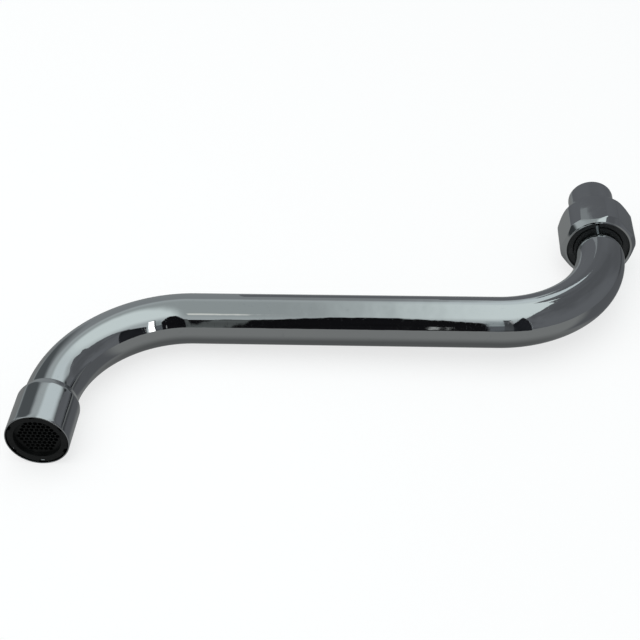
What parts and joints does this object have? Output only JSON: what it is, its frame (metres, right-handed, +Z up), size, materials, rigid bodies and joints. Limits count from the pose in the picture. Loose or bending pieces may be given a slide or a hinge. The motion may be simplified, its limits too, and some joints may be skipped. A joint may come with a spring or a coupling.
{
  "type": "swivel tap spout",
  "caption": "Chrome double-bend swivel spout for a wall-mounted sink tap, with a union nut at its inlet and a recessed aerator in its outlet.",
  "frame": {"origin": "bottom centre of the bounding box; the spout lies on its side on a flat surface, resting on its outlet socket and its union nut", "axes": "+X from the outlet to the inlet, +Y the way the inlet opens towards the tap (the outlet opens along -Y), +Z up from the surface; the plane of the two bends leans 0.96 deg about Y, because the nut is wider than the socket"},
  "size_m": [0.2372, 0.1552, 0.0306],
  "materials": {
    "tube_chrome": "polished chrome plating on brass",
    "socket_chrome": "polished chrome plating on brass",
    "spigot_chrome": "chrome plating on turned brass, slightly dull",
    "nut_chrome": "chrome plating on machined brass",
    "bush_plastic": "satin black",
    "washer_plastic": "waxy white",
    "o_ring_rubber": "matt black",
    "seal_rubber": "matt black",
    "aerator_plastic": "matt black",
    "screen_steel": "fine stainless mesh",
    "regulator_plastic": "natural moulded",
    "strainer_plastic": "moulded blue-grey"
  },
  "bodies": {
    "spout": {"spout_tube": "tube_chrome", "outlet_socket": "socket_chrome", "inlet_spigot": "spigot_chrome", "spigot_o_ring_inner": "o_ring_rubber", "spigot_o_ring_outer": "o_ring_rubber", "seat_washer": "washer_plastic"},
    "slip_washer": {"slip_washer": "washer_plastic"},
    "union_nut": {"union_nut": "nut_chrome", "nut_guide_bush": "bush_plastic"},
    "aerator_seal": {"aerator_seal": "seal_rubber"},
    "aerator": {"aerator_housing": "aerator_plastic", "outlet_grid": "aerator_plastic", "screen_lower": "screen_steel", "screen_spacer": "regulator_plastic", "screen_upper": "screen_steel", "mixing_chamber_ring": "regulator_plastic", "jet_disc": "regulator_plastic", "flow_regulator_body": "regulator_plastic", "flow_regulator_o_ring": "o_ring_rubber", "inlet_strainer": "strainer_plastic"}
  },
  "joints": [
    {"name": "nut_slide", "type": "slide", "parent": "spout", "child": "slip_washer", "axis": [0, -1, 0], "range_m": [0, 0.006]},
    {"name": "nut_turn", "type": "hinge", "parent": "slip_washer", "child": "union_nut", "pos_m": [0.10314, 0.05025, 0.01532], "axis": [0, 1, 0], "continuous": true},
    {"name": "aerator_lead", "type": "slide", "parent": "spout", "child": "aerator_seal", "axis": [0, -1, 0], "range_m": [0, 0.0071]},
    {"name": "aerator_unscrew", "type": "hinge", "parent": "aerator_seal", "child": "aerator", "pos_m": [-0.10683, -0.0722, 0.0118], "axis": [0, -1, 0], "range_deg": [0, 2520]}
  ],
  "couplings": [
    {"joint": "aerator_lead", "follows": "aerator_unscrew", "m_per_rad": 0.00015915}
  ]
}
